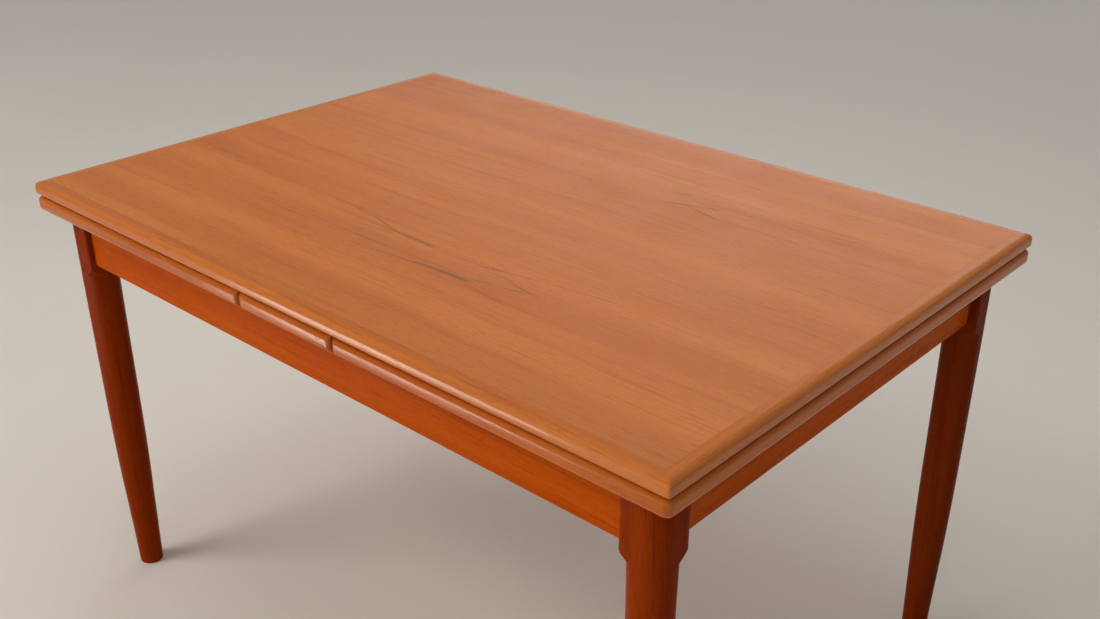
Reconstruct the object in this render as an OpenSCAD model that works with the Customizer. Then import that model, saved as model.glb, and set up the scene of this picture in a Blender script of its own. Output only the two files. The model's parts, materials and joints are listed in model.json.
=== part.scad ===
// Draw-leaf dining table: a loose top over two leaves that pull out at the ends.
// Millimetres, +Z up. X runs along the table, Y across it, the floor is Z = 0.
// "Front" is the -Y side, "right" is the +X end.

/* [Table] */
// Length of the closed table
table_l = 1250; // [1150:10:1400]
// Width of the table
table_w = 855; // [780:5:950]
// Height of the upper surface above the floor
table_h = 730; // [700:5:770]

/* [Boards] */
// Thickness of the loose top
top_t = 22; // [20:1:26]
// Thickness of the leaves and of the fixed centre board
leaf_t = 24; // [20:1:26]
// Thickness of the felt between centre board and top
felt_t = 2; // [1:0.5:4]
// Width of the solid edge lippings
lip_w = 20; // [16:1:30]
// Thickness of the lippings on the inner joints
joint_lip_w = 6; // [4:1:10]
// Width of the fixed centre board
centre_w = 190; // [180:5:240]
// Gap between centre board and each closed leaf
leaf_gap = 3; // [2:0.5:6]
// Rounding of the board corners at that gap
corner_r = 8; // [4:1:12]
// Rounding of the top's upper edge
top_upper_r = 10; // [6:1:12]
// Rounding of the top's lower edge
top_lower_r = 6; // [3:1:8]
// Rounding of the leaves' upper edge
leaf_upper_r = 7; // [3:1:8]
// Rounding of the leaves' lower edge
leaf_lower_r = 9; // [5:1:10]

/* [Legs] */
// Side of the square block at the head of the leg
leg_s = 56; // [50:1:62]
// Diameter of the foot
foot_d = 39; // [34:1:48]
// Diameter of the turned leg under the shoulder, a little more than the block
shaft_d = 58; // [54:1:60]
// Rounding of the three square corners of the block
block_r = 4; // [2:0.5:6]
// Overhang of the top past the legs at the ends
over_end = 29; // [20:1:40]
// Overhang of the top past the legs on the long sides
over_side = 26; // [18:1:40]
// How far the square block runs on below the apron
block_drop = 7; // [4:1:30]
// Height of the turned shoulder under the block
shoulder_h = 14; // [6:1:18]

/* [Frame] */
// Height of the aprons
apron_h = 81; // [75:1:100]
// Thickness of the aprons
apron_t = 22; // [18:1:25]
// Long aprons set back from the leg faces
set_side = 9.5; // [4:0.5:14]
// End aprons set back from the leg faces
set_end = 14; // [4:0.5:14]
// Height of the two crossrails
rail_h = 70; // [62:1:75]
// Thickness of the crossrails
rail_t = 22; // [18:1:25]
// Distance of each crossrail from the middle of the table
rail_x = 60; // [45:1:70]

/* [Bearers] */
// Width of the leaf bearers
bearer_w = 24; // [18:1:28]
// Depth of the leaf bearers
bearer_h = 28; // [24:1:32]
// Distance of the right leaf's bearers from the centre line
right_bearer_y = 300; // [292:1:305]
// Distance of the left leaf's bearers from the centre line
left_bearer_y = 255; // [235:1:258]
// Diameter of the stop pegs under the bearers
stop_d = 12; // [8:1:14]

/* [Top pegs] */
// Diameter of the two pegs under the loose top
peg_d = 18; // [14:1:24]
// Length of the pegs below the top
peg_l = 60; // [54:1:70]
// Distance of the pegs from the centre line
peg_y = 150; // [90:5:200]

/* [Hidden] */
$fn = 64;

// Heights of the stacked layers
top_z = table_h - top_t;
leaf_z = top_z - felt_t - leaf_t;
run_gap = 0.4;
frame_z = leaf_z - run_gap;
apron_z = frame_z - apron_h;
bearer_z = leaf_z - bearer_h;

// Plan positions, all measured from the middle of the table
half_l = table_l / 2;
half_w = table_w / 2;
leaf_in = centre_w / 2 + leaf_gap;
leg_x = half_l - over_end - leg_s / 2;
leg_y = half_w - over_side - leg_s / 2;
end_out = half_l - over_end - set_end;
end_in = end_out - apron_t;
side_out = half_w - over_side - set_side;
side_in = side_out - apron_t;

// Joinery
tenon_l = 24;
tenon_t = 10;
tenon_edge = 10;
rail_tenon_l = 10;
slide_gap = 0.4;
stop_drop = 14;
stop_in = 14;
rail_notch_z = bearer_z - stop_drop - 4;
travel = half_l - leaf_in;
peg_in = 10;
peg_clear = 0.08;
leaf_screws_x = [150, 330, 510];
block_leg = 61;
block_h = 30;
block_z = apron_z + 5;
block_screw_in = 30;
screw_d = 4.4;
screw_hole_d = 4.5;
head_d = 8;
head_hole_d = 9;
head_h = 3;
big = 2 * table_l;

// Colours by wood
teak = "#b8703f";
teak_dark = "#8f4218";
beech = "#d9b98a";
steel = "#9a9a98";
felt = "#3f5a3a";

// ---- Shapes used by several pieces ----

// Bar along X on one long side, its outer edge rounded over above and below
module nosed_bar_x(x0, x1, sy, z0, t, upper_r, lower_r) {
    for (part = nose_blocks(t, upper_r, lower_r)) {
        inner_y = half_w - lip_w;
        outer_y = half_w - part[0];
        translate([x0, sy > 0 ? inner_y : -outer_y, z0 + part[1]])
            cube([x1 - x0, outer_y - inner_y, part[2] - part[1]]);
    }
    for (nose = [[upper_r, t - upper_r], [lower_r, lower_r]]) {
        translate([x0, sy * (half_w - nose[0]), z0 + nose[1]])
            rotate([0, 90, 0])
                cylinder(h = x1 - x0, r = nose[0]);
    }
}

// The same bar along Y at one end of the table
module nosed_bar_y(sx, z0, t, upper_r, lower_r) {
    for (part = nose_blocks(t, upper_r, lower_r)) {
        inner_x = half_l - lip_w;
        outer_x = half_l - part[0];
        translate([sx > 0 ? inner_x : -outer_x, -half_w, z0 + part[1]])
            cube([outer_x - inner_x, table_w, part[2] - part[1]]);
    }
    for (nose = [[upper_r, t - upper_r], [lower_r, lower_r]]) {
        translate([sx * (half_l - nose[0]), -half_w, z0 + nose[1]])
            rotate([-90, 0, 0])
                cylinder(h = table_w, r = nose[0]);
    }
}

// Solid behind the two roundings: distance in from the edge, bottom and top
function nose_blocks(t, upper_r, lower_r) = [
    [max(upper_r, lower_r), 0, t],
    [min(upper_r, lower_r), upper_r > lower_r ? 0 : lower_r, upper_r > lower_r ? t - upper_r : t],
    [0, lower_r, t - upper_r]
];

// Prism used to trim a bar to its outline in plan
module plan_prism(points, z0, t) {
    translate([0, 0, z0 - 1])
        linear_extrude(t + 2)
            polygon(points);
}

// Side lipping of the top, mitred at both ends
module top_side_lipping(sy) {
    color(teak)
    intersection() {
        nosed_bar_x(-half_l, half_l, sy, top_z, top_t, top_upper_r, top_lower_r);
        plan_prism([
            [-half_l, sy * half_w],
            [half_l, sy * half_w],
            [half_l - lip_w, sy * (half_w - lip_w)],
            [-half_l + lip_w, sy * (half_w - lip_w)]
        ], top_z, top_t);
    }
}

// End lipping, mitred at both ends, for the top and for the leaves
module end_lipping(sx, z0, t, upper_r, lower_r) {
    color(teak)
    intersection() {
        nosed_bar_y(sx, z0, t, upper_r, lower_r);
        plan_prism([
            [sx * half_l, -half_w],
            [sx * half_l, half_w],
            [sx * (half_l - lip_w), half_w - lip_w],
            [sx * (half_l - lip_w), -half_w + lip_w]
        ], z0, t);
    }
}

module top_end_lipping(sx) {
    end_lipping(sx, top_z, top_t, top_upper_r, top_lower_r);
}

module leaf_end_lipping(sx) {
    end_lipping(sx, leaf_z, leaf_t, leaf_upper_r, leaf_lower_r);
}

// Waste taken off a board corner to round it in plan
module corner_waste(x, y, dx, dy) {
    difference() {
        translate([
            dx > 0 ? x - 1 : x - corner_r,
            dy > 0 ? y - 1 : y - corner_r,
            leaf_z - 1
        ])
            cube([corner_r + 1, corner_r + 1, leaf_t + 2]);
        translate([x + dx * corner_r, y + dy * corner_r, leaf_z - 2])
            cylinder(h = leaf_t + 4, r = corner_r);
    }
}

// Side lipping of a leaf: mitred at the outer end, rounded at the inner one
module leaf_side_lipping(sx, sy) {
    color(teak)
    difference() {
        intersection() {
            nosed_bar_x(-half_l, half_l, sy, leaf_z, leaf_t, leaf_upper_r, leaf_lower_r);
            plan_prism([
                [sx * leaf_in, sy * half_w],
                [sx * half_l, sy * half_w],
                [sx * (half_l - lip_w), sy * (half_w - lip_w)],
                [sx * leaf_in, sy * (half_w - lip_w)]
            ], leaf_z, leaf_t);
        }
        corner_waste(sx * leaf_in, sy * half_w, sx, -sy);
    }
}

// Thin square lipping on the inner edge of a leaf
module leaf_joint_lipping(sx) {
    color(teak)
    translate([
        sx > 0 ? leaf_in : -leaf_in - joint_lip_w,
        -half_w + lip_w,
        leaf_z
    ])
        cube([joint_lip_w, table_w - 2 * lip_w, leaf_t]);
}

// Holes for the leaf screws, through the bearer and into the leaf
module leaf_screw_holes(sx, y) {
    for (x = leaf_screws_x) {
        translate([sx * x, y, bearer_z - 1])
            cylinder(h = head_h + 2, d = head_hole_d);
        translate([sx * x, y, bearer_z])
            cylinder(h = bearer_h + 15, d = screw_hole_d);
    }
}

// Veneered panel of a leaf
module leaf_panel(sx, bearer_y) {
    panel_in = leaf_in + joint_lip_w;
    panel_out = half_l - lip_w;
    color(teak)
    difference() {
        translate([sx > 0 ? panel_in : -panel_out, -half_w + lip_w, leaf_z])
            cube([panel_out - panel_in, table_w - 2 * lip_w, leaf_t]);
        leaf_screw_holes(sx, -bearer_y);
        leaf_screw_holes(sx, bearer_y);
    }
}

// Bearer: a straight rail under the leaf with a long tail under the centre board
module leaf_bearer(sx, y) {
    tail = end_in - 6;
    nose = end_out - 1;
    color(beech)
    difference() {
        translate([0, y + bearer_w / 2, 0])
            rotate([90, 0, 0])
                linear_extrude(bearer_w)
                    polygon([
                        [-sx * tail, bearer_z + 6],
                        [-sx * (tail - 10), bearer_z],
                        [sx * (nose - 4), bearer_z],
                        [sx * nose, bearer_z + 4],
                        [sx * nose, leaf_z],
                        [sx * (leaf_in + 2), leaf_z],
                        [sx * (leaf_in + 2), leaf_z - 1.2],
                        [-sx * tail, leaf_z - 1.2]
                    ]);
        leaf_screw_holes(sx, y);
        translate([sx * stop_x(), y, bearer_z - 1])
            cylinder(h = stop_in + 1, d = stop_d);
    }
}

// Closed position of a stop peg: it meets the end apron at full travel
function stop_x() = end_in - travel - stop_d / 2 - 0.3;

// Stop pegs, one under each bearer of a leaf
module leaf_stop_pegs(sx, bearer_y) {
    color(beech)
    for (sy = [-1, 1]) {
        translate([sx * stop_x(), sy * bearer_y, bearer_z - stop_drop])
            cylinder(h = stop_drop + stop_in, d = stop_d);
    }
}

// Slotted wood screw standing on its head, tip up
module wood_screw(l) {
    difference() {
        union() {
            cylinder(h = head_h, d = head_d);
            translate([0, 0, head_h / 2])
                cylinder(h = l - head_h / 2, d = screw_d);
        }
        translate([-head_d, -0.6, -1])
            cube([2 * head_d, 1.2, 2]);
    }
}

// Screws that hold the bearers to a leaf
module leaf_screws(sx, bearer_y) {
    color(steel)
    for (x = leaf_screws_x) {
        for (sy = [-1, 1]) {
            translate([sx * x, sy * bearer_y, bearer_z + 1])
                wood_screw(bearer_h + 12);
        }
    }
}

// ---- Top ----

module top_panel() {
    color(teak)
    difference() {
        translate([-half_l + lip_w, -half_w + lip_w, top_z])
            cube([table_l - 2 * lip_w, table_w - 2 * lip_w, top_t]);
        for (sy = [-1, 1]) {
            translate([0, sy * peg_y, top_z - 1])
                cylinder(h = peg_in + 1, d = peg_d);
        }
    }
}

module top_pegs() {
    color(beech)
    for (sy = [-1, 1]) {
        translate([0, sy * peg_y, top_z - peg_l])
            cylinder(h = 3, d1 = peg_d - 4, d2 = peg_d);
        translate([0, sy * peg_y, top_z - peg_l + 3])
            cylinder(h = peg_l - 3 + peg_in, d = peg_d);
    }
}

// ---- Fixed centre board ----

module centre_board() {
    inner_x = centre_w / 2 - joint_lip_w;
    color(teak)
    difference() {
        translate([-inner_x, -half_w + lip_w, frame_z])
            cube([2 * inner_x, table_w - 2 * lip_w, leaf_t + run_gap]);
        for (sy = [-1, 1]) {
            translate([0, sy * peg_y, frame_z - 1])
                cylinder(h = leaf_t + 3, d = peg_d + 2 * peg_clear);
        }
        centre_board_screw_holes();
    }
}

// Side lipping of the centre board, both outer corners rounded
module centre_side_lipping(sy) {
    color(teak)
    difference() {
        intersection() {
            nosed_bar_x(-half_l, half_l, sy, leaf_z, leaf_t, leaf_upper_r, leaf_lower_r);
            plan_prism([
                [-centre_w / 2, sy * half_w],
                [centre_w / 2, sy * half_w],
                [centre_w / 2, sy * (half_w - lip_w)],
                [-centre_w / 2, sy * (half_w - lip_w)]
            ], leaf_z, leaf_t);
        }
        corner_waste(-centre_w / 2, sy * half_w, 1, -sy);
        corner_waste(centre_w / 2, sy * half_w, -1, -sy);
    }
}

module centre_joint_lipping(sx) {
    color(teak)
    translate([
        sx > 0 ? centre_w / 2 - joint_lip_w : -centre_w / 2,
        -half_w + lip_w,
        frame_z
    ])
        cube([joint_lip_w, table_w - 2 * lip_w, leaf_t + run_gap]);
}

module centre_board_felts() {
    color(felt)
    for (y = [-330, -60, 60, 330]) {
        translate([-60, y - 8, leaf_z + leaf_t])
            cube([120, 16, felt_t]);
    }
}

// Deep holes up through the crossrails into the centre board
module centre_board_screw_holes() {
    for (sx = [-1, 1]) {
        for (sy = [-1, 1]) {
            translate([sx * rail_x, sy * 200, frame_z - rail_h - 1])
                cylinder(h = rail_h - 24, d = head_hole_d);
            translate([sx * rail_x, sy * 200, frame_z - 26])
                cylinder(h = 41, d = screw_hole_d);
        }
    }
}

module centre_board_screws() {
    color(steel)
    for (sx = [-1, 1]) {
        for (sy = [-1, 1]) {
            translate([sx * rail_x, sy * 200, frame_z - 25 - head_h])
                wood_screw(40);
        }
    }
}

// ---- Legs ----

// Leg outline from foot to shoulder: share of the height, share of the foot-to-shaft growth
taper = [
    [0.104, 0.16], [0.172, 0.29], [0.250, 0.43], [0.319, 0.57], [0.388, 0.67],
    [0.457, 0.74], [0.534, 0.79], [0.603, 0.82], [0.690, 0.85], [0.776, 0.88],
    [0.871, 0.92], [0.966, 0.98]
];

// Shoulder outline: share of its height, share of its reach, nearly straight with a soft top
shoulder = [[0.25, 0.22], [0.60, 0.58], [0.82, 0.80], [0.94, 0.91]];

// Turned outline: curved taper, sloping shoulder, full head above it
module leg_turning() {
    foot_r = foot_d / 2;
    shaft_r = shaft_d / 2;
    corner_reach = (leg_s / 2 - block_r) * sqrt(2) + block_r + 1;
    block_z0 = apron_z - block_drop;
    shoulder_z = block_z0 - shoulder_h;
    rotate_extrude($fn = 96)
        polygon(concat(
            [[0, 0], [foot_r - 1.5, 0], [foot_r, 1.5]],
            [for (p = taper) [foot_r + (shaft_r - foot_r) * p[1], shoulder_z * p[0]]],
            [[shaft_r, shoulder_z]],
            [for (p = shoulder) [
                shaft_r + (corner_reach - shaft_r) * p[1],
                shoulder_z + shoulder_h * p[0]
            ]],
            [[corner_reach, block_z0], [corner_reach, frame_z], [0, frame_z]]
        ));
}

// Square blank: a full quarter round on the outer corner, small roundings on the others
module leg_blank(sx, sy) {
    half = leg_s / 2;
    flat = half - block_r;
    cylinder(h = frame_z, r = half);
    translate([sx > 0 ? -half : 0, -flat, 0])
        cube([half, 2 * flat, frame_z]);
    translate([sx > 0 ? -flat : 0, -half, 0])
        cube([flat, leg_s, frame_z]);
    translate([-flat, sy > 0 ? -half : 0, 0])
        cube([2 * flat, half, frame_z]);
    translate([-half, sy > 0 ? -flat : 0, 0])
        cube([leg_s, flat, frame_z]);
    for (corner = [[-sx, -sy], [-sx, sy], [sx, -sy]]) {
        translate([corner[0] * flat, corner[1] * flat, 0])
            cylinder(h = frame_z, r = block_r);
    }
}

module leg(sx, sy) {
    color(teak_dark)
    difference() {
        translate([sx * leg_x, sy * leg_y, 0])
            intersection() {
                leg_turning();
                leg_blank(sx, sy);
            }
        side_tenon(sx, sy);
        end_tenon(sx, sy);
    }
}

// Tenon of a long apron, inside the leg
module side_tenon(sx, sy) {
    x0 = leg_x - leg_s / 2;
    y_mid = side_out - apron_t / 2;
    translate([
        sx > 0 ? x0 : -x0 - tenon_l,
        sy * y_mid - tenon_t / 2,
        apron_z + tenon_edge
    ])
        cube([tenon_l, tenon_t, apron_h - 2 * tenon_edge]);
}

// Tenon of an end apron, inside the leg
module end_tenon(sx, sy) {
    y0 = leg_y - leg_s / 2;
    x_mid = end_out - apron_t / 2;
    translate([
        sx * x_mid - tenon_t / 2,
        sy > 0 ? y0 : -y0 - tenon_l,
        apron_z + tenon_edge
    ])
        cube([tenon_t, tenon_l, apron_h - 2 * tenon_edge]);
}

// ---- Aprons and crossrails ----

module side_apron(sy) {
    x0 = leg_x - leg_s / 2;
    color(teak_dark)
    difference() {
        union() {
            translate([-x0, sy > 0 ? side_in : -side_out, apron_z])
                cube([2 * x0, apron_t, apron_h]);
            side_tenon(-1, sy);
            side_tenon(1, sy);
        }
        rail_tenon(-1, sy);
        rail_tenon(1, sy);
        block_side_holes(-1, sy);
        block_side_holes(1, sy);
    }
}

// End apron with two notches in its top edge for the bearers of its own leaf
module end_apron(sx, bearer_y) {
    y0 = leg_y - leg_s / 2;
    notch_w = bearer_w + 2 * slide_gap;
    color(teak_dark)
    difference() {
        union() {
            translate([sx > 0 ? end_in : -end_out, -y0, apron_z])
                cube([apron_t, 2 * y0, apron_h]);
            end_tenon(sx, -1);
            end_tenon(sx, 1);
        }
        for (sy = [-1, 1]) {
            translate([
                sx > 0 ? end_in - 1 : -end_out - 1,
                sy * bearer_y - notch_w / 2,
                bearer_z - slide_gap
            ])
                cube([apron_t + 2, notch_w, bearer_h + 5]);
        }
        block_end_holes(sx, -1);
        block_end_holes(sx, 1);
    }
}

module rail_tenon(sx, sy) {
    translate([
        sx * rail_x - tenon_t / 2,
        sy > 0 ? side_in : -side_in - rail_tenon_l,
        frame_z - rail_h + tenon_edge
    ])
        cube([tenon_t, rail_tenon_l, rail_h - 2 * tenon_edge]);
}

// Crossrail with four deep notches, so that bearers and stop pegs pass
module crossrail(sx) {
    notch_w = bearer_w + 4;
    color(beech)
    difference() {
        union() {
            translate([sx * rail_x - rail_t / 2, -side_in, frame_z - rail_h])
                cube([rail_t, 2 * side_in, rail_h]);
            rail_tenon(sx, -1);
            rail_tenon(sx, 1);
        }
        for (y = [
            -right_bearer_y, -left_bearer_y, left_bearer_y, right_bearer_y
        ]) {
            translate([sx * rail_x - rail_t, y - notch_w / 2, rail_notch_z])
                cube([2 * rail_t, notch_w, rail_h]);
        }
        centre_board_screw_holes();
    }
}

// ---- Corner blocks ----

// Gusset between the two aprons, cut round the inner corner of the leg
module corner_block(sx, sy) {
    leg_in_x = leg_x - leg_s / 2;
    leg_in_y = leg_y - leg_s / 2;
    color(beech)
    difference() {
        translate([0, 0, block_z])
            linear_extrude(block_h)
                polygon([
                    [sx * (leg_in_x - block_leg), sy * side_in],
                    [sx * leg_in_x, sy * side_in],
                    [sx * leg_in_x, sy * leg_in_y],
                    [sx * end_in, sy * leg_in_y],
                    [sx * end_in, sy * (leg_in_y - block_leg)],
                    [sx * (end_in - 8), sy * (leg_in_y - block_leg)],
                    [sx * (leg_in_x - block_leg), sy * (side_in - 8)]
                ]);
        block_side_holes(sx, sy);
        block_end_holes(sx, sy);
    }
}

// Screw positions on the two arms of a corner block
function block_x() = leg_x - leg_s / 2 - block_leg / 2;
function block_y() = leg_y - leg_s / 2 - block_leg / 2;

module block_side_holes(sx, sy) {
    translate([sx * block_x(), sy * (side_in - block_screw_in / 2), block_z + block_h / 2])
        rotate([-sy * 90, 0, 0]) {
            cylinder(h = block_screw_in, d = screw_hole_d);
            translate([0, 0, -60])
                cylinder(h = 60, d = head_hole_d);
        }
}

module block_end_holes(sx, sy) {
    translate([sx * (end_in - block_screw_in / 2), sy * block_y(), block_z + block_h / 2])
        rotate([0, sx * 90, 0]) {
            cylinder(h = block_screw_in, d = screw_hole_d);
            translate([0, 0, -60])
                cylinder(h = 60, d = head_hole_d);
        }
}

module corner_block_screws() {
    color(steel)
    for (sx = [-1, 1]) {
        for (sy = [-1, 1]) {
            translate([
                sx * block_x(),
                sy * (side_in - block_screw_in / 2 - head_h),
                block_z + block_h / 2
            ])
                rotate([-sy * 90, 0, 0])
                    wood_screw(block_screw_in);
            translate([
                sx * (end_in - block_screw_in / 2 - head_h),
                sy * block_y(),
                block_z + block_h / 2
            ])
                rotate([0, sx * 90, 0])
                    wood_screw(block_screw_in);
        }
    }
}

// ---- Nodes ----

top_panel();
top_side_lipping(-1);  // top_front_lipping
top_side_lipping(1);  // top_back_lipping
top_end_lipping(-1);  // top_left_lipping
top_end_lipping(1);  // top_right_lipping
top_pegs();

leaf_panel(-1, left_bearer_y);  // left_leaf_panel
leaf_side_lipping(-1, -1);  // left_leaf_front_lipping
leaf_side_lipping(-1, 1);  // left_leaf_back_lipping
leaf_end_lipping(-1);  // left_leaf_end_lipping
leaf_joint_lipping(-1);  // left_leaf_joint_lipping
leaf_bearer(-1, -left_bearer_y);  // left_leaf_front_bearer
leaf_bearer(-1, left_bearer_y);  // left_leaf_back_bearer
leaf_stop_pegs(-1, left_bearer_y);  // left_leaf_stop_pegs
leaf_screws(-1, left_bearer_y);  // left_leaf_screws

leaf_panel(1, right_bearer_y);  // right_leaf_panel
leaf_side_lipping(1, -1);  // right_leaf_front_lipping
leaf_side_lipping(1, 1);  // right_leaf_back_lipping
leaf_end_lipping(1);  // right_leaf_end_lipping
leaf_joint_lipping(1);  // right_leaf_joint_lipping
leaf_bearer(1, -right_bearer_y);  // right_leaf_front_bearer
leaf_bearer(1, right_bearer_y);  // right_leaf_back_bearer
leaf_stop_pegs(1, right_bearer_y);  // right_leaf_stop_pegs
leaf_screws(1, right_bearer_y);  // right_leaf_screws

centre_board();
centre_side_lipping(-1);  // centre_board_front_lipping
centre_side_lipping(1);  // centre_board_back_lipping
centre_joint_lipping(-1);  // centre_board_left_lipping
centre_joint_lipping(1);  // centre_board_right_lipping
centre_board_felts();
centre_board_screws();

leg(-1, -1);  // front_left_leg
leg(1, -1);  // front_right_leg
leg(-1, 1);  // back_left_leg
leg(1, 1);  // back_right_leg
side_apron(-1);  // front_apron
side_apron(1);  // back_apron
end_apron(-1, left_bearer_y);  // left_apron
end_apron(1, right_bearer_y);  // right_apron
crossrail(-1);  // left_crossrail
crossrail(1);  // right_crossrail
corner_block(-1, -1);  // front_left_corner_block
corner_block(1, -1);  // front_right_corner_block
corner_block(-1, 1);  // back_left_corner_block
corner_block(1, 1);  // back_right_corner_block
corner_block_screws();
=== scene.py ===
"""Looks of the draw-leaf teak table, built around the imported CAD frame.

Metres, +Z up. X runs along the table, Y across it; the front is -Y.
"""
import json
import math
import random

import bmesh
import bpy
from mathutils import Matrix, Vector

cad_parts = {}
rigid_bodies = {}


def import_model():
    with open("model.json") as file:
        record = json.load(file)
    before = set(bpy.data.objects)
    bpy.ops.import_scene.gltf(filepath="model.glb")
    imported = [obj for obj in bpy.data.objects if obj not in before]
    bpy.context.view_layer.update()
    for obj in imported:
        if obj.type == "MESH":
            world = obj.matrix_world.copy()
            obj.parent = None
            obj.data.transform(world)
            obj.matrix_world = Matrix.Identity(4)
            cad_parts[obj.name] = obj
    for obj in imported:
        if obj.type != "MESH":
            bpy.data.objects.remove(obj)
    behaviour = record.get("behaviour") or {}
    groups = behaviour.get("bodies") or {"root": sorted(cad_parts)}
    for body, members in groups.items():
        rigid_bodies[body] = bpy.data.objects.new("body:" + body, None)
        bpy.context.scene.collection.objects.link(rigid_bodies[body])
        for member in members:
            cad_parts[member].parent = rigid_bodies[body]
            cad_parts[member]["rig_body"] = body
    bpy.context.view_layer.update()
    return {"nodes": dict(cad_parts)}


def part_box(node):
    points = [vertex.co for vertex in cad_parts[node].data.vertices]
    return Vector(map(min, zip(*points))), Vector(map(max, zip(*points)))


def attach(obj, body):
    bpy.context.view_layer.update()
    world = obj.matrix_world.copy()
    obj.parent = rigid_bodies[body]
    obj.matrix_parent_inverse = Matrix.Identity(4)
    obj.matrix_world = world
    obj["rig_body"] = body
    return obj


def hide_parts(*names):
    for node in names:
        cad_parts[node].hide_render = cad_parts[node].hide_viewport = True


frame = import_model()
NODES = frame["nodes"]

# Sizes that part.scad also uses
LIP_WIDTH = 0.020
NOTCH_RADIUS = 0.008
# Upper and lower rounding of the edges
TOP_ROUNDING = (0.010, 0.006)
LEAF_ROUNDING = (0.007, 0.009)
SHOULDER_LOW = 0.5796
SHOULDER_HIGH = 0.5936
SHAFT_RADIUS = 0.029
BLOCK_ROUNDING = 0.004
FOOT_RADIUS = 0.0195
FOOT_CHAMFER = 0.0015
TENON_EDGE = 0.010
# Leg outline: share of the height up to the shoulder, share of the growth from foot to shaft
TAPER = (
    (0.0026, 0.0), (0.104, 0.16), (0.172, 0.29), (0.250, 0.43), (0.319, 0.57), (0.388, 0.67),
    (0.457, 0.74), (0.534, 0.79), (0.603, 0.82), (0.690, 0.85), (0.776, 0.88),
    (0.871, 0.92), (0.966, 0.98), (1.0, 1.0),
)
# Shoulder outline: share of its height, share of its reach
SHOULDER = ((0.0, 0.0), (0.25, 0.22), (0.60, 0.58), (0.82, 0.80), (0.94, 0.91), (1.0, 1.0))

# Rounding of the mitred corners, seen from above
TOP_CORNER = 0.0045
LEAF_CORNER = 0.010
LEAST_MITRE = 0.0016
LEAST_NOTCH = 0.0012
# Sections around a mitred corner and around a notched end, in degrees
MITRE_SWEEP = (45, 52, 60, 68, 76, 83, 90)
ROUND_SWEEP = (0, 9, 18, 28, 38, 48, 58, 68, 78, 86, 90)
ROUNDING_STEPS = 10
# Half the thickness of a mortise, a little over half the tenon's
MORTISE_HALF = 0.0051
# How gently the lathe profile runs into the block
BLEND = 0.0009
# How far the lathe profile passes the block's corners, at the top of the shoulder and above it
HEAD_REACH = 0.001
HEAD_CLEAR = 0.004
# How far the leg's uppermost ring is drawn in
LEG_TOP_EASE = 0.0004
# How far a mortise's box starts outside the leg's face
CUT_MARGIN = 0.001
# Widths of the eased arrises
PANEL_EASE = 0.00018
SCREW_EASE = 0.00015
PEG_EASE = 0.0005
SMALL_EASE = 0.0006
BEECH_EASE = 0.0008
APRON_EASE = 0.0012

rng = random.Random(17)


# ---------------------------------------------------------------- shaders

class Graph:
    """Adds and links the nodes of one material or group."""

    def __init__(self, tree):
        self.tree = tree

    def node(self, kind, **settings):
        made = self.tree.nodes.new(kind if kind.startswith("NodeGroup") else "ShaderNode" + kind)
        for key, value in settings.items():
            setattr(made, key, value)
        return made

    def feed(self, socket, value):
        if isinstance(value, bpy.types.NodeSocket):
            self.tree.links.new(value, socket)
        elif value is not None:
            socket.default_value = value

    def math(self, operation, a, b=None, c=None, clamp=False):
        made = self.node("Math", operation=operation, use_clamp=clamp)
        for socket, value in zip(made.inputs, (a, b, c)):
            self.feed(socket, value)
        return made.outputs[0]

    def ramp(self, value, low, high, out_low=0.0, out_high=1.0, smooth=True):
        """Value from low..high to out_low..out_high, clamped."""
        made = self.node("MapRange", clamp=True)
        made.interpolation_type = "SMOOTHSTEP" if smooth else "LINEAR"
        for name, number in (
            ("Value", value), ("From Min", low), ("From Max", high),
            ("To Min", out_low), ("To Max", out_high),
        ):
            self.feed(made.inputs[name], number)
        return made.outputs[0]

    def split(self, vector):
        made = self.node("SeparateXYZ")
        self.feed(made.inputs[0], vector)
        return made.outputs

    def join(self, x, y, z):
        made = self.node("CombineXYZ")
        for socket, value in zip(made.inputs, (x, y, z)):
            self.feed(socket, value)
        return made.outputs[0]

    def stretch(self, parts, along, across=1.0):
        """Grain coordinates squeezed along the grain, so that noise runs in lines."""
        u, v, w = parts
        return self.join(
            self.math("MULTIPLY", u, along),
            self.math("MULTIPLY", v, across),
            self.math("MULTIPLY", w, across),
        )

    def noise(self, vector, scale, detail=2.0, roughness=0.5, distortion=0.0):
        made = self.node("TexNoise")
        self.feed(made.inputs["Vector"], vector)
        made.inputs["Scale"].default_value = scale
        made.inputs["Detail"].default_value = detail
        made.inputs["Roughness"].default_value = roughness
        made.inputs["Distortion"].default_value = distortion
        return made.outputs["Fac"]

    def blend(self, factor, a, b, mode="MIX"):
        made = self.node("Mix", data_type="RGBA", blend_type=mode)
        self.feed(made.inputs[0], factor)
        self.feed(made.inputs[6], a)
        self.feed(made.inputs[7], b)
        return made.outputs[2]

    def bump(self, height, strength, distance):
        made = self.node("Bump")
        made.inputs["Strength"].default_value = strength
        made.inputs["Distance"].default_value = distance
        self.feed(made.inputs["Height"], height)
        return made.outputs[0]


def new_material(name):
    made = bpy.data.materials.new(name)
    made.use_nodes = True
    made.node_tree.nodes.clear()
    graph = Graph(made.node_tree)
    shader = graph.node("BsdfPrincipled")
    out = graph.node("OutputMaterial")
    graph.feed(out.inputs["Surface"], shader.outputs[0])
    return made, graph, shader


def rgba(r, g, b):
    return (r, g, b, 1.0)


def times(shade, factor):
    """A shade made lighter or darker."""
    return rgba(*[min(1.0, c * factor) for c in shade])


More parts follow.
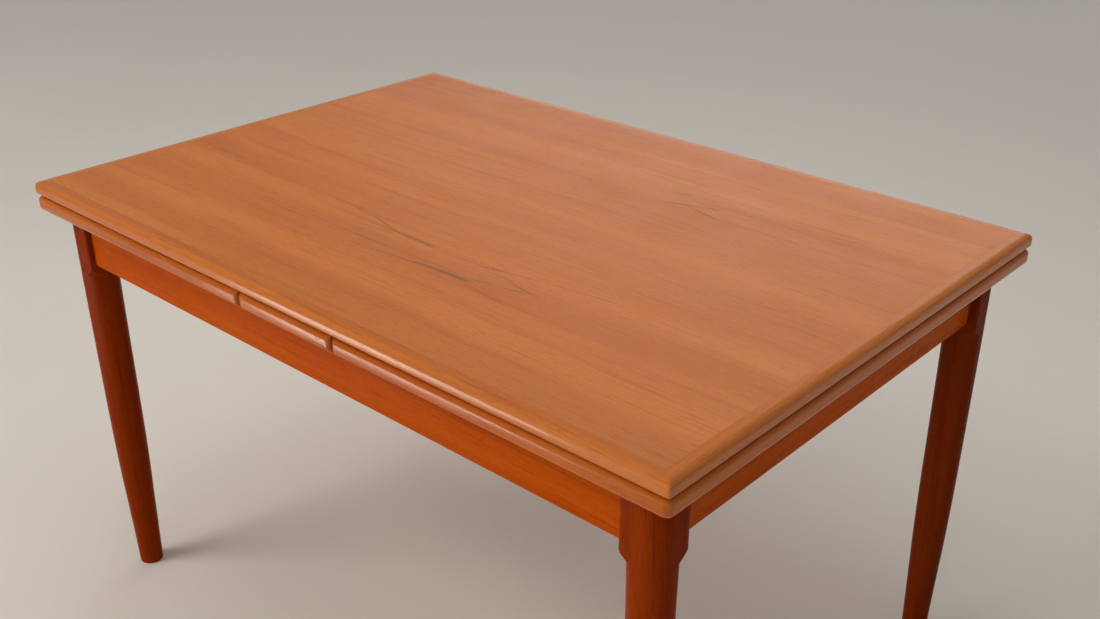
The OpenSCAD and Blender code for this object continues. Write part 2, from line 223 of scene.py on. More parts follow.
def make_streak_group():
    """One dark mineral streak between two points of the veneer, as a mask."""
    group = bpy.data.node_groups.new("mineral_streak", "ShaderNodeTree")
    for name in ("X", "Y", "X0", "Y0", "X1", "Y1", "Width", "Strength"):
        group.interface.new_socket(name, in_out="INPUT", socket_type="NodeSocketFloat")
    group.interface.new_socket("Mask", in_out="OUTPUT", socket_type="NodeSocketFloat")
    g = Graph(group)
    source = g.node("NodeGroupInput").outputs
    run_x = g.math("SUBTRACT", source["X1"], source["X0"])
    run_y = g.math("SUBTRACT", source["Y1"], source["Y0"])
    along = g.math("DIVIDE", g.math("SUBTRACT", source["X"], source["X0"]), run_x)
    line_y = g.math("MULTIPLY_ADD", along, run_y, source["Y0"])
    off = g.math("ABSOLUTE", g.math("SUBTRACT", source["Y"], line_y))
    # The streak is thin where it starts and widest before it ends
    swell = g.ramp(along, 0.0, 0.75, 0.35, 1.0)
    reach = g.math("MULTIPLY", source["Width"], swell)
    across = g.ramp(g.math("DIVIDE", off, reach), 0.0, 1.0, 1.0, 0.0)
    ends = g.math("MULTIPLY", g.ramp(along, 0.0, 0.35), g.ramp(along, 1.0, 0.8))
    mask = g.math("MULTIPLY", g.math("MULTIPLY", across, ends), source["Strength"])
    g.feed(g.node("NodeGroupOutput").inputs[0], mask)
    return group


def make_teak(name, shades, gloss, level, streaks=(), edge=0.0):
    """Lacquered teak. The mesh attribute "grain" holds metres along, across and through the wood.

    shades are the pale, middle and deep one; level is the strength of its mirror reflection.
    """
    pale, mid, deep = shades
    made, g, shader = new_material(name)
    grain = g.node("Attribute", attribute_name="grain").outputs["Vector"]
    u, v, w = g.split(grain)
    sway = g.noise(g.stretch((u, v, w), 1.6, 3.0), 1.0, 1.0)
    v = g.math("ADD", v, g.math("MULTIPLY", g.math("SUBTRACT", sway, 0.5), 0.030))
    ripple = g.noise(g.stretch((u, v, w), 9.0, 9.0), 1.0, 1.0)
    v = g.math("ADD", v, g.math("MULTIPLY", g.math("SUBTRACT", ripple, 0.5), 0.004))
    parts = (u, v, w)

    bands = g.noise(g.stretch(parts, 0.05), 15.0, 2.0)
    rings = g.noise(g.stretch(parts, 0.034), 70.0, 4.0, 0.62)
    lines = g.noise(g.stretch(parts, 0.022), 260.0, 3.0, 0.6)
    flecks = g.noise(g.stretch(parts, 0.045), 900.0, 1.0)
    pores = g.noise(g.stretch(parts, 0.05), 2100.0, 1.0)
    clouds = g.noise(g.stretch(parts, 0.5), 4.5, 2.0)

    colour = g.blend(g.ramp(bands, 0.34, 0.66), rgba(*mid), rgba(*pale))
    reddened = g.blend(1.0, colour, rgba(0.98, 0.84, 0.78), "MULTIPLY")
    colour = g.blend(g.ramp(clouds, 0.35, 0.70, 0.0, 0.55), colour, reddened)
    colour = g.blend(g.ramp(rings, 0.50, 0.72, 0.0, 0.46), colour, rgba(*deep))
    colour = g.blend(g.ramp(lines, 0.55, 0.72, 0.0, 0.52), colour, rgba(*deep))
    colour = g.blend(g.ramp(flecks, 0.56, 0.70, 0.0, 0.30), colour, times(deep, 0.62))
    colour = g.blend(g.ramp(flecks, 0.44, 0.30, 0.0, 0.22), colour, times(pale, 1.25))
    pore_mask = g.ramp(pores, 0.60, 0.70)
    colour = g.blend(g.math("MULTIPLY", pore_mask, 0.35), colour, times(deep, 0.35))

    if streaks:
        group = bpy.data.node_groups["mineral_streak"]
        wander = g.noise(g.stretch((u, v, w), 22.0, 22.0), 1.0, 2.0)
        x, y, _ = g.split(grain)
        y = g.math("ADD", y, g.math("MULTIPLY", g.math("SUBTRACT", wander, 0.5), 0.006))
        total = None
        for numbers in streaks:
            one = g.node("Group", node_tree=group)
            for socket, value in zip(one.inputs, (x, y) + numbers):
                g.feed(socket, value)
            total = one.outputs[0] if total is None else g.math("MAXIMUM", total, one.outputs[0])
        broken = g.ramp(lines, 0.30, 0.62, 0.45, 0.95)
        total = g.math("MULTIPLY", total, broken)
        colour = g.blend(total, colour, rgba(0.175, 0.070, 0.034))

    if edge:
        bevel = g.node("Bevel", samples=4)
        bevel.inputs["Radius"].default_value = 0.0025
        facing = g.node("VectorMath", operation="DOT_PRODUCT")
        g.feed(facing.inputs[0], bevel.outputs[0])
        g.feed(facing.inputs[1], g.node("NewGeometry").outputs["Normal"])
        worn = g.ramp(facing.outputs["Value"], 0.99, 0.90)
        worn = g.math("MULTIPLY", worn, g.ramp(g.noise(grain, 60.0, 3.0), 0.35, 0.65, 0.25, 1.0))
        colour = g.blend(g.math("MULTIPLY", worn, edge), colour, times(pale, 1.35))

    g.feed(shader.inputs["Base Color"], colour)
    smears = g.noise(grain, 11.0, 3.0)
    polish = g.ramp(smears, 0.3, 0.7, gloss - 0.03, gloss + 0.05)
    rough = g.math("ADD", polish, g.math("MULTIPLY", pore_mask, 0.12))
    g.feed(shader.inputs["Roughness"], rough)
    height = g.math("SUBTRACT", g.math("MULTIPLY", rings, -0.5), pore_mask)
    height = g.math("ADD", height, g.math("MULTIPLY", g.noise(grain, 90.0, 1.0), 0.8))
    g.feed(shader.inputs["Normal"], g.bump(height, 0.3, 0.00012))
    shader.inputs["Specular IOR Level"].default_value = level
    return made


def make_beech(name):
    """Bare planed beech with its short dark flecks."""
    made, g, shader = new_material(name)
    grain = g.node("Attribute", attribute_name="grain").outputs["Vector"]
    parts = g.split(grain)
    bands = g.noise(g.stretch(parts, 0.06), 34.0, 3.0)
    flecks = g.noise(g.stretch(parts, 0.16), 900.0, 1.0)
    lines = g.noise(g.stretch(parts, 0.02), 330.0, 2.0)
    stain = g.noise(grain, 7.0, 3.0)
    colour = g.blend(g.ramp(bands, 0.3, 0.7), rgba(0.50, 0.29, 0.135), rgba(0.62, 0.39, 0.20))
    colour = g.blend(g.ramp(lines, 0.55, 0.75, 0.0, 0.35), colour, rgba(0.40, 0.21, 0.09))
    colour = g.blend(g.ramp(flecks, 0.60, 0.68, 0.0, 0.55), colour, rgba(0.26, 0.12, 0.05))
    colour = g.blend(g.ramp(stain, 0.45, 0.75, 0.0, 0.35), colour, rgba(0.42, 0.24, 0.12))
    g.feed(shader.inputs["Base Color"], colour)
    g.feed(shader.inputs["Roughness"], g.ramp(stain, 0.3, 0.7, 0.52, 0.68))
    height = g.math("SUBTRACT", lines, g.ramp(flecks, 0.60, 0.68))
    g.feed(shader.inputs["Normal"], g.bump(height, 0.35, 0.00015))
    return made


def make_steel(name):
    """Dull screw steel, scratched and darker in patches."""
    made, g, shader = new_material(name)
    place = g.node("TexCoord").outputs["Object"]
    patches = g.noise(place, 420.0, 4.0, 0.6)
    scratches = g.noise(g.stretch(g.split(place), 0.1, 1.0), 3000.0, 2.0)
    colour = g.blend(g.ramp(patches, 0.40, 0.68), rgba(0.50, 0.49, 0.46), rgba(0.23, 0.205, 0.18))
    g.feed(shader.inputs["Base Color"], colour)
    g.feed(shader.inputs["Roughness"], g.ramp(patches, 0.35, 0.7, 0.32, 0.58))
    g.feed(shader.inputs["Normal"], g.bump(scratches, 0.25, 0.00004))
    shader.inputs["Metallic"].default_value = 1.0
    return made


def make_felt(name):
    """Dense wool felt: matted fibres over a blotchy green."""
    made, g, shader = new_material(name)
    place = g.node("TexCoord").outputs["Object"]
    fibres = g.noise(place, 1500.0, 4.0, 0.7, 1.2)
    mats = g.noise(place, 260.0, 3.0, 0.6)
    colour = g.blend(g.ramp(mats, 0.3, 0.7), rgba(0.045, 0.085, 0.040), rgba(0.085, 0.135, 0.065))
    colour = g.blend(g.ramp(fibres, 0.52, 0.72, 0.0, 0.5), colour, rgba(0.17, 0.22, 0.12))
    g.feed(shader.inputs["Base Color"], colour)
    g.feed(shader.inputs["Roughness"], g.ramp(mats, 0.3, 0.7, 0.86, 0.97))
    g.feed(shader.inputs["Normal"], g.bump(fibres, 0.8, 0.0004))
    shader.inputs["Sheen Weight"].default_value = 0.5
    shader.inputs["Sheen Roughness"].default_value = 0.5
    return made


# Start x, y, end x, y, half width and strength of each streak, in metres on the top
TOP_STREAKS = (
    (-0.230, -0.150, -0.080, -0.170, 0.0025, 0.50),
    (-0.140, -0.160, -0.035, -0.185, 0.0025, 0.90),
    (-0.075, -0.180, 0.040, -0.185, 0.0065, 0.75),
    (0.000, -0.190, 0.115, -0.185, 0.0030, 0.50),
    (-0.170, -0.200, -0.040, -0.190, 0.0025, 0.60),
    (-0.155, -0.225, 0.010, -0.225, 0.0025, 0.50),
    (-0.115, -0.250, 0.025, -0.240, 0.0025, 0.80),
    (-0.010, -0.240, 0.075, -0.235, 0.0030, 0.95),
    (0.020, -0.235, 0.155, -0.230, 0.0060, 1.00),
    (0.120, -0.235, 0.235, -0.250, 0.0025, 0.70),
    (0.110, -0.230, 0.180, -0.215, 0.0025, 0.75),
    (0.155, -0.225, 0.245, -0.200, 0.0025, 0.70),
    (0.100, -0.190, 0.170, -0.175, 0.0030, 0.95),
    (0.130, -0.190, 0.200, -0.195, 0.0025, 0.75),
    (0.165, -0.195, 0.245, -0.205, 0.0025, 0.85),
    (0.145, -0.180, 0.225, -0.165, 0.0025, 0.50),
    (0.195, -0.170, 0.340, -0.150, 0.0025, 0.55),
    (0.130, 0.205, 0.180, 0.220, 0.0035, 0.90),
    (0.160, 0.210, 0.250, 0.190, 0.0030, 0.75),
    (0.150, 0.170, 0.210, 0.185, 0.0040, 1.00),
    (0.180, 0.180, 0.270, 0.160, 0.0030, 0.85),
    (0.190, 0.180, 0.250, 0.200, 0.0025, 0.70),
    (0.200, 0.220, 0.255, 0.235, 0.0025, 0.50),
    (-0.420, -0.205, -0.280, -0.205, 0.0025, 0.45),
    (-0.360, -0.230, -0.170, -0.235, 0.0025, 0.45),
    (0.395, -0.190, 0.640, -0.185, 0.0020, 0.40),
)

# Pale, middle and deep shade of each kind of teak
TOP_SHADES = ((0.585, 0.182, 0.034), (0.51, 0.148, 0.026), (0.36, 0.092, 0.015))
VENEER_SHADES = ((0.60, 0.190, 0.036), (0.52, 0.153, 0.027), (0.38, 0.098, 0.016))
LIPPING_SHADES = ((0.55, 0.170, 0.031), (0.475, 0.130, 0.021), (0.32, 0.078, 0.012))
LEAF_EDGE_SHADES = ((0.50, 0.126, 0.008), (0.43, 0.094, 0.005), (0.29, 0.052, 0.003))
APRON_SHADES = ((0.50, 0.090, 0.003), (0.42, 0.066, 0.002), (0.28, 0.035, 0.001))
# The legs' shades are about half as bright as the aprons': painted shade for the dimmer light on the
# legs
LEG_SHADES = ((0.26, 0.034, 0.0013), (0.21, 0.024, 0.001), (0.12, 0.012, 0.0007))
# Painted light and shade: each leg's teak is made a little lighter or darker for the light it gets,
# with the back legs painted shaded, the back right one most
LEG_LIGHT_AND_SHADE = {"front_left": 1.04, "front_right": 1.05, "back_left": 0.86, "back_right": 0.66}

make_streak_group()
MATERIALS = {
    "teak_top": make_teak("teak_top", TOP_SHADES, 0.33, 0.45, streaks=TOP_STREAKS),
    "teak_veneer": make_teak("teak_veneer", VENEER_SHADES, 0.36, 0.40),
    "teak_lipping": make_teak("teak_lipping", LIPPING_SHADES, 0.16, 0.40, edge=0.12),
    "teak_leaf_edge": make_teak("teak_leaf_edge", LEAF_EDGE_SHADES, 0.16, 0.34, edge=0.12),
    "teak_frame": make_teak("teak_frame", APRON_SHADES, 0.27, 0.013, edge=0.2),
    "beech": make_beech("beech"),
    "screw_steel": make_steel("screw_steel"),
    "felt": make_felt("felt"),
}
# Lit and shaded copies of the legs' teak, one for each leg
for corner, light_factor in LEG_LIGHT_AND_SHADE.items():
    lit_shades = [[c * light_factor for c in shade] for shade in LEG_SHADES]
    MATERIALS[corner + "_leg"] = make_teak("teak_" + corner + "_leg", lit_shades, 0.27, 0.018, edge=0.22)


# ---------------------------------------------------------------- meshes

def finish_piece(name, mesh, node, material, axis, offset=None, sharp=32.0):
    """Makes the object for a mesh, with its wood coordinates, finish and body."""
    if offset is None:
        offset = Vector((rng.uniform(-9, 9), rng.uniform(-9, 9), rng.uniform(-9, 9)))
    order = {"x": (0, 1, 2), "y": (1, 0, 2), "z": (2, 0, 1)}[axis]
    grain = mesh.attributes.new("grain", "FLOAT_VECTOR", "POINT")
    values = []
    for vertex in mesh.vertices:
        values.extend(vertex.co[i] + offset[k] for k, i in enumerate(order))
    grain.data.foreach_set("vector", values)
    mesh.polygons.foreach_set("use_smooth", [True] * len(mesh.polygons))
    mesh.set_sharp_from_angle(angle=math.radians(sharp))
    mesh.materials.append(MATERIALS[material])
    piece = bpy.data.objects.new(name, mesh)
    bpy.context.scene.collection.objects.link(piece)
    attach(piece, NODES[node]["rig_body"])
    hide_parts(node)
    return piece


def bare_bmesh(node):
    """A CAD node's mesh, welded, with its coplanar triangles joined."""
    source = NODES[node].data
    copy = bpy.data.meshes.new("bare")
    copy.from_pydata([v.co for v in source.vertices], [], [list(p.vertices) for p in source.polygons])
    bm = bmesh.new()
    bm.from_mesh(copy)
    bpy.data.meshes.remove(copy)
    bmesh.ops.remove_doubles(bm, verts=bm.verts, dist=1e-5)
    bmesh.ops.dissolve_limit(bm, angle_limit=math.radians(0.4), verts=bm.verts, edges=bm.edges)
    return bm


def soften(node, material, axis, width, segments=2, offset=None):
    """Stands for a CAD node with its shape kept and its arrises eased."""
    bm = bare_bmesh(node)
    least = math.radians(30)
    sharp = [e for e in bm.edges if len(e.link_faces) == 2 and e.calc_face_angle() > least]
    bmesh.ops.bevel(
        bm, geom=sharp, offset=width, offset_type="OFFSET", segments=segments,
        profile=0.5, affect="EDGES", clamp_overlap=True,
    )
    mesh = bpy.data.meshes.new(node + "_eased")
    bm.to_mesh(mesh)
    bm.free()
    piece = finish_piece(node + "_look", mesh, node, material, axis, offset)
    normals = piece.modifiers.new("normals", "WEIGHTED_NORMAL")
    normals.keep_sharp = True
    return piece


def loft(rows):
    """Closed rings of points joined in order and capped at both ends."""
    bm = bmesh.new()
    rings = [[bm.verts.new(p) for p in row] for row in rows]
    count = len(rows[0])
    for a, b in zip(rings, rings[1:]):
        for i in range(count):
            j = (i + 1) % count
            bm.faces.new((a[i], a[j], b[j], b[i]))
    bm.faces.new(rings[0][::-1])
    bm.faces.new(rings[-1])
    bmesh.ops.remove_doubles(bm, verts=bm.verts, dist=1e-6)
    bmesh.ops.recalc_face_normals(bm, faces=bm.faces)
    mesh = bpy.data.meshes.new("loft")
    bm.to_mesh(mesh)
    bm.free()
    return mesh


def edge_profile(low_z, high_z, upper, lower):
    """Section of a lipping: inward distance from the outer edge, and height."""
    profile = []
    for i in range(ROUNDING_STEPS + 1):
        a = math.pi / 2 * (1 - i / ROUNDING_STEPS)
        profile.append((upper * (1 - math.cos(a)), high_z - upper + upper * math.sin(a)))
    for i in range(ROUNDING_STEPS + 1):
        a = -math.pi / 2 * i / ROUNDING_STEPS
        profile.append((lower * (1 - math.cos(a)), low_z + lower + lower * math.sin(a)))
    return profile + [(LIP_WIDTH, low_z), (LIP_WIDTH, high_z)]


def lipping(node, side, ends, material="teak_lipping"):
    """Lipping with two roundings. side is front, back, left or right; ends are mitre or round."""
    low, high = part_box(node)
    is_top = node.startswith("top_")
    profile = edge_profile(low.z, high.z, *(TOP_ROUNDING if is_top else LEAF_ROUNDING))
    corner = TOP_CORNER if is_top else LEAF_CORNER
    along_x = side in ("front", "back")
    s0, s1 = (low.x, high.x) if along_x else (low.y, high.y)
    outer = {"front": low.y, "back": high.y, "left": low.x, "right": high.x}[side]
    sign = 1 if side in ("back", "right") else -1

    def corner_radius(d, start, least):
        if d >= LIP_WIDTH - 1e-6:
            return 0.0
        return max(start - d, least)

    def station(kind, s_end, toward, degrees):
        """Points of one section; toward is +1 at the far end and -1 at the near one."""
        a = math.radians(degrees)
        row = []
        for d, z in profile:
            if kind == "mitre":
                R = corner_radius(d, corner, LEAST_MITRE)
                s = s_end - toward * (d + R - R * math.cos(a))
            else:
                R = corner_radius(d, NOTCH_RADIUS, LEAST_NOTCH)
                s = s_end - toward * (R - R * math.cos(a))
            o = outer - sign * (d + R - R * math.sin(a))
            row.append((s, o, z) if along_x else (o, s, z))
        return row

    sweep = {"mitre": MITRE_SWEEP, "round": ROUND_SWEEP}
    rows = [station(ends[0], s0, -1, a) for a in sweep[ends[0]]]
    rows += [station(ends[1], s1, 1, a) for a in sweep[ends[1]][::-1]]
    axis = "x" if along_x else "y"
    return finish_piece(node + "_look", loft(rows), node, material, axis, sharp=38.0)


def rounded_square(angle, half, radius, outer_angle):
    """Distance to the block's outline: small arrises, and a full quarter round outside."""
    turn = (angle - outer_angle + math.pi) % (2 * math.pi) - math.pi
    if abs(turn) <= math.pi / 4:
        return half
    c, s = abs(math.cos(angle)), abs(math.sin(angle))
    big, small = max(c, s), min(c, s)
    reach = half / big
    if reach * small <= half - radius:
        return reach
    k = half - radius
    dot = k * (c + s)
    return dot + math.sqrt(max(0.0, radius * radius - (2 * k * k - dot * dot)))


def soft_min(a, b, k):
    """The lesser of two values, rounded over where they are nearly equal."""
    h = min(1.0, max(0.0, 0.5 + 0.5 * (b - a) / k))
    return b + (a - b) * h - k * h * (1 - h)


def on_line(points, t):
    """Value at t of a line through points (t, value)."""
    for (t0, v0), (t1, v1) in zip(points, points[1:]):
        if t <= t1:
            return v0 + (v1 - v0) * max(0.0, t - t0) / (t1 - t0)
    return points[-1][1]


def turned_radius(z, half):
    """Radius of the lathe profile at height z."""
    reach = (half - BLOCK_ROUNDING) * math.sqrt(2) + BLOCK_ROUNDING + HEAD_REACH
    if z < FOOT_CHAMFER:
        t = z / FOOT_CHAMFER
        return FOOT_RADIUS - FOOT_CHAMFER * (1 - math.sqrt(max(0.0, 1 - (1 - t) ** 2)))
    if z < SHOULDER_LOW:
        return FOOT_RADIUS + (SHAFT_RADIUS - FOOT_RADIUS) * on_line(TAPER, z / SHOULDER_LOW)
    if z < SHOULDER_HIGH:
        t = (z - SHOULDER_LOW) / (SHOULDER_HIGH - SHOULDER_LOW)
        return SHAFT_RADIUS + (reach - SHAFT_RADIUS) * on_line(SHOULDER, t)
    return reach + HEAD_CLEAR


def box_mesh(low, high):
    """A box between two corners, for cutting."""
    bm = bmesh.new()
    bmesh.ops.create_cube(bm, size=1.0)
    for vert in bm.verts:
        vert.co = Vector([low[i] + (vert.co[i] + 0.5) * (high[i] - low[i]) for i in range(3)])
    mesh = bpy.data.meshes.new("cutter")
    bm.to_mesh(mesh)
    bm.free()
    return mesh


def cut(mesh, boxes):
    """A mesh with boxes cut out of it."""
    work = bpy.data.objects.new("work", mesh)
    bpy.context.scene.collection.objects.link(work)
    cutters = []
    for low, high in boxes:
        cutter = bpy.data.objects.new("cutter", box_mesh(low, high))
        bpy.context.scene.collection.objects.link(cutter)
        cutters.append(cutter)
        modifier = work.modifiers.new("cut", "BOOLEAN")
        modifier.operation = "DIFFERENCE"
        modifier.solver = "EXACT"
        modifier.object = cutter
    graph = bpy.context.evaluated_depsgraph_get()
    result = bpy.data.meshes.new_from_object(work.evaluated_get(graph))
    for item in [work] + cutters:
        data = item.data
        bpy.data.objects.remove(item)
        bpy.data.meshes.remove(data)
    return result


def leg_angles():
    """Directions of the points around a leg, close together where the outline turns."""
    corner_steps = (1.2, 2.4, 3.6, 4.6, 5.6, 6.6, 7.5)
    seam_steps = (1.5, 4.5, 7.5, 10.5, 13.5, 16.5)
    angles = {i * 3.0 for i in range(120)}
    for quarter in (0, 90, 180, 270):
        angles |= {quarter + 45 + side * step for side in (-1, 1) for step in corner_steps}
        angles |= {(quarter + side * step) % 360 for side in (-1, 1) for step in seam_steps}
    return sorted(angles)


def leg_heights(top):
    """Heights of the rings of points, close together at the foot and the shoulder."""
    heights = [0.0, 0.0001, 0.0003, 0.0006, 0.001, FOOT_CHAMFER, 0.003]
    for (t0, _), (t1, _) in zip(TAPER[1:], TAPER[2:]):
        heights += [SHOULDER_LOW * (t0 + (t1 - t0) * k / 3) for k in range(3)]
    heights = [z for z in heights if z < SHOULDER_LOW - 0.004]
    heights += [SHOULDER_LOW - k for k in (0.004, 0.002, 0.001)]
    span = SHOULDER_HIGH - SHOULDER_LOW
    heights += [SHOULDER_LOW + span * i / 18 for i in range(19)]
    heights += [SHOULDER_HIGH + k for k in (0.0006, 0.0015, 0.004, 0.02)]
    return heights + [top - 0.0008, top]


def mortises(centre, half, sx, sy):
    """Boxes of the mortises for the tenons of the two aprons that meet at a leg."""
    side_low, side_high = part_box("front_apron" if sy < 0 else "back_apron")
    end_low, end_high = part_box("left_apron" if sx < 0 else "right_apron")
    z0, z1 = side_low.z + TENON_EDGE, side_high.z - TENON_EDGE
    y_mid = (side_low.y + side_high.y) / 2
    x_mid = (end_low.x + end_high.x) / 2
    inner_x, reach_x = centre.x - sx * (half + CUT_MARGIN), side_high.x * sx
    inner_y, reach_y = centre.y - sy * (half + CUT_MARGIN), end_high.y * sy
    return (
        (
            (min(inner_x, reach_x), y_mid - MORTISE_HALF, z0),
            (max(inner_x, reach_x), y_mid + MORTISE_HALF, z1),
        ),
        (
            (x_mid - MORTISE_HALF, min(inner_y, reach_y), z0),
            (x_mid + MORTISE_HALF, max(inner_y, reach_y), z1),
        ),
    )


def leg(node, sx, sy):
    """Turned leg under a square block; sx and sy say which corner it stands at."""
    low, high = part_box(node)
    centre = (low + high) / 2
    half = (high.x - low.x) / 2
    outer_angle = math.atan2(sy, sx)
    rows = []
    for z in leg_heights(high.z):
        row = []
        inset = LEG_TOP_EASE if z == high.z else 0.0
        for degrees in leg_angles():
            a = math.radians(degrees)
            block = rounded_square(a, half, BLOCK_ROUNDING, outer_angle) - inset
            r = soft_min(turned_radius(z, half), block, BLEND)
            row.append((centre.x + r * math.cos(a), centre.y + r * math.sin(a), z))
        rows.append(row)
    mesh = cut(loft(rows), mortises(centre, half, sx, sy))
    return finish_piece(node + "_look", mesh, node, node, "z", sharp=42.0)


# ---------------------------------------------------------------- the table

# The top's wood coordinates have no offset, so that its streaks lie where TOP_STREAKS says
soften("top_panel", "teak_top", "x", PANEL_EASE, 1, offset=Vector((0, 0, 0)))
for side in ("front", "back", "left", "right"):
    lipping(f"top_{side}_lipping", side, ("mitre", "mitre"))
soften("top_pegs", "beech", "z", PEG_EASE)

for hand in ("left", "right"):
    leaf = hand + "_leaf_"
    ends = ("mitre", "round") if hand == "left" else ("round", "mitre")
    soften(leaf + "panel", "teak_veneer", "x", PANEL_EASE, 1)
    lipping(leaf + "front_lipping", "front", ends, "teak_leaf_edge")
    lipping(leaf + "back_lipping", "back", ends, "teak_leaf_edge")
    lipping(leaf + "end_lipping", hand, ("mitre", "mitre"), "teak_leaf_edge")
    soften(leaf + "joint_lipping", "teak_lipping", "y", SMALL_EASE)
    soften(leaf + "front_bearer", "beech", "x", BEECH_EASE)
    soften(leaf + "back_bearer", "beech", "x", BEECH_EASE)
    soften(leaf + "stop_pegs", "beech", "z", SMALL_EASE)
    soften(leaf + "screws", "screw_steel", "z", SCREW_EASE, 1)

soften("centre_board", "teak_veneer", "x", PANEL_EASE, 1)
for side in ("front", "back"):
    lipping(f"centre_board_{side}_lipping", side, ("round", "round"), "teak_leaf_edge")
for hand in ("left", "right"):
    soften(f"centre_board_{hand}_lipping", "teak_lipping", "y", SMALL_EASE)
soften("centre_board_felts", "felt", "x", SMALL_EASE, 3)
soften("centre_board_screws", "screw_steel", "z", SCREW_EASE, 1)

for depth, sy in (("front", -1), ("back", 1)):
    for hand, sx in (("left", -1), ("right", 1)):
        leg(f"{depth}_{hand}_leg", sx, sy)
        soften(f"{depth}_{hand}_corner_block", "beech", "x", BEECH_EASE)

for side, axis in (("front", "x"), ("back", "x"), ("left", "y"), ("right", "y")):
    soften(side + "_apron", "teak_frame", axis, APRON_EASE, 3)
for hand in ("left", "right"):
    soften(hand + "_crossrail", "beech", "y", BEECH_EASE)
soften("corner_block_screws", "screw_steel", "z", SCREW_EASE, 1)


# ---------------------------------------------------------------- floor, light and camera

FLOOR_RADIUS = 30
FLOOR_POINTS = 96
# Where the surroundings are bright: behind the table, a little to the left
BRIGHT_SIDE = Vector((-0.42, 0.90, 0.12))
# The camera's place, and its yaw, pitch and roll in degrees
CAMERA_PLACE = (1.2256, -1.2640, 1.4256)
CAMERA_TURN = (131.491, 27.507, 0.320)
# Sensor and focal length in millimetres
SENSOR_WIDTH = 36.0
FOCAL_LENGTH = 41.157
CAMERA_SHIFT = (-0.01336, 0.0249)


def make_floor():
    """Round pale studio floor, painted paler far away where less lamp light reaches it."""
    made, g, shader = new_material("studio_floor")
    place = g.node("TexCoord").outputs["Object"]
    cloud = g.noise(place, 1.3, 4.0, 0.6)
    speck = g.noise(place, 220.0, 2.0)
    colour = g.blend(g.ramp(cloud, 0.3, 0.7), rgba(0.79, 0.755, 0.71), rgba(0.82, 0.785, 0.74))
    colour = g.blend(g.ramp(speck, 0.5, 0.8, 0.0, 0.10), colour, rgba(0.70, 0.66, 0.61))
    reach = g.node("VectorMath", operation="LENGTH")
    g.feed(reach.inputs[0], place)
    # Painted light: paler with distance from the table, making up for the lamps' light falling off
    colour = g.blend(g.ramp(reach.outputs["Value"], 1.5, 6.0), colour, rgba(0.93, 0.905, 0.865))
    g.feed(shader.inputs["Base Color"], colour)
    g.feed(shader.inputs["Roughness"], g.ramp(cloud, 0.3, 0.7, 0.62, 0.72))
    g.feed(shader.inputs["Normal"], g.bump(speck, 0.1, 0.0004))
    mesh = bpy.data.meshes.new("floor")
    turns = [math.tau * i / FLOOR_POINTS for i in range(FLOOR_POINTS)]
    ring = [(FLOOR_RADIUS * math.cos(a), FLOOR_RADIUS * math.sin(a), 0) for a in turns]
    mesh.from_pydata(ring, [], [list(range(FLOOR_POINTS))])
    mesh.materials.append(made)
    floor = bpy.data.objects.new("floor", mesh)
    bpy.context.scene.collection.objects.link(floor)


def area_light(name, place, target, size, power, colour, spread=180, shape="RECTANGLE"):
    """Soft lamp turned towards a target; its width and height are in metres, its spread in degrees."""
    data = bpy.data.lights.new(name, "AREA")
    data.shape = shape
    data.size, data.size_y = size
    data.energy = power
    data.color = colour
    data.spread = math.radians(spread)
    lamp = bpy.data.objects.new(name, data)
    lamp.location = place
    lamp.rotation_mode = "QUATERNION"
    lamp.rotation_quaternion = (Vector(target) - Vector(place)).to_track_quat("-Z", "Y")
    bpy.context.scene.collection.objects.link(lamp)
    return lamp


def make_world():
    """Dim warm surroundings with one bright side, which gives the haze on the far part of the top."""
    world = bpy.data.worlds.new("studio")
    world.use_nodes = True
    world.node_tree.nodes.clear()
    g = Graph(world.node_tree)
    lean = g.node("VectorMath", operation="DOT_PRODUCT")
    g.feed(lean.inputs[0], g.node("TexCoord").outputs["Generated"])
    lean.inputs[1].default_value = BRIGHT_SIDE.normalized()
    back = g.node("Background")
    back.inputs["Color"].default_value = rgba(1.0, 0.955, 0.90)
    g.feed(back.inputs["Strength"], g.ramp(lean.outputs["Value"], 0.86, 0.97, 0.26, 1.05))
    g.feed(g.node("OutputWorld").inputs["Surface"], back.outputs[0])
    bpy.context.scene.world = world


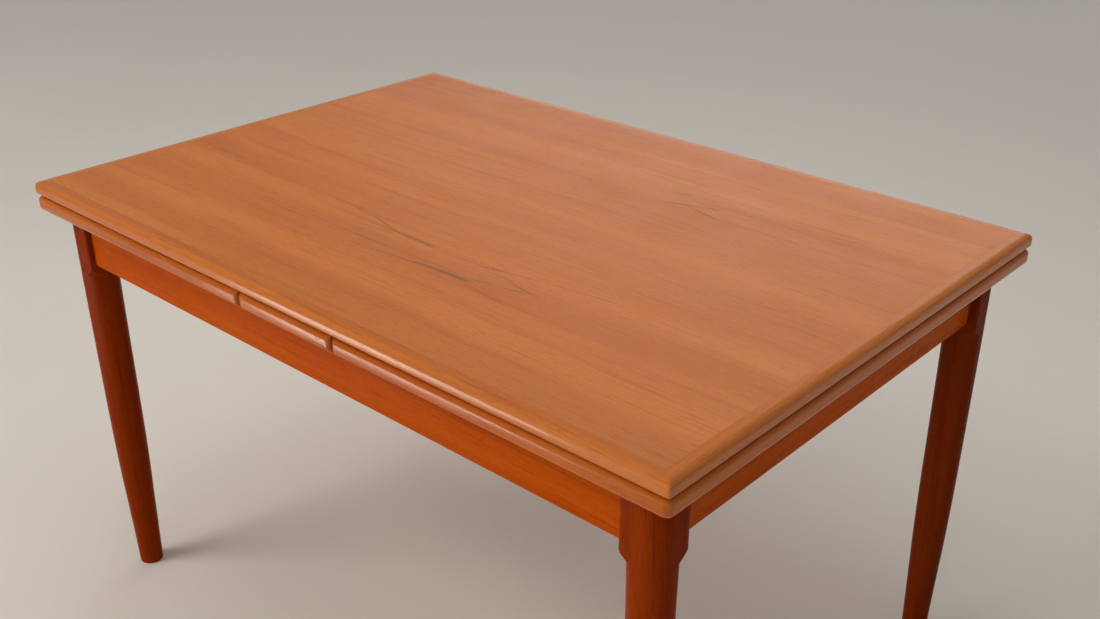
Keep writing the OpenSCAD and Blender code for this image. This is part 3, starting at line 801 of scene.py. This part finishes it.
def make_camera():
    """Camera at the photo's viewing angle."""
    yaw, pitch, roll = (math.radians(degrees) for degrees in CAMERA_TURN)
    ahead = Vector((math.cos(yaw) * math.cos(pitch), math.sin(yaw) * math.cos(pitch), -math.sin(pitch)))
    right = ahead.cross(Vector((0, 0, 1))).normalized()
    up = right.cross(ahead)
    right_rolled = right * math.cos(roll) + up * math.sin(roll)
    up_rolled = up * math.cos(roll) - right * math.sin(roll)
    turn = Matrix((right_rolled, up_rolled, -ahead)).transposed()
    lens = bpy.data.cameras.new("camera")
    lens.sensor_width = SENSOR_WIDTH
    lens.lens = FOCAL_LENGTH
    lens.shift_x, lens.shift_y = CAMERA_SHIFT
    camera = bpy.data.objects.new("camera", lens)
    camera.matrix_world = Matrix.Translation(CAMERA_PLACE) @ turn.to_4x4()
    bpy.context.scene.collection.objects.link(camera)
    bpy.context.scene.camera = camera


# Name, place, target, size, watts, colour and spread of the lamps that only give soft light
SOFT_LAMPS = (
    ("key", (-3.0, -4.6, 5.6), (0, 0, 0.6), (3.4, 2.8), 186, (1.0, 0.95, 0.88), 180),
    ("window", (-4.4, -8.6, 2.3), (0, 0, 0.6), (4.8, 2.4), 27, (1.0, 0.94, 0.88), 50),
    ("overhead", (-0.1, 0.2, 2.6), (-0.1, 0.2, 0.7), (2.4, 2.0), 22, (1.0, 0.96, 0.90), 180),
    ("low_fill", (-1.2, -2.6, 0.012), (-1.2, -2.6, 3.0), (3.2, 2.4), 22, (1.0, 0.90, 0.84), 180),
    ("side_fill", (2.8, -1.0, 1.0), (0.5, -0.2, 0.6), (1.4, 1.2), 3.8, (1.0, 0.92, 0.84), 180),
)

make_floor()
for lamp_facts in SOFT_LAMPS:
    area_light(*lamp_facts).visible_glossy = False
# Seen only as the thin bright line along the front edges
glint = area_light(
    "glint", (-0.92, -1.50, 0.015), (-0.92, -1.50, 3.0), (1.3, 0.60), 13.5, (1.0, 0.90, 0.84),
    shape="ELLIPSE",
)
glint.visible_diffuse = False

bpy.context.scene.view_settings.view_transform = "Standard"
make_world()
make_camera()
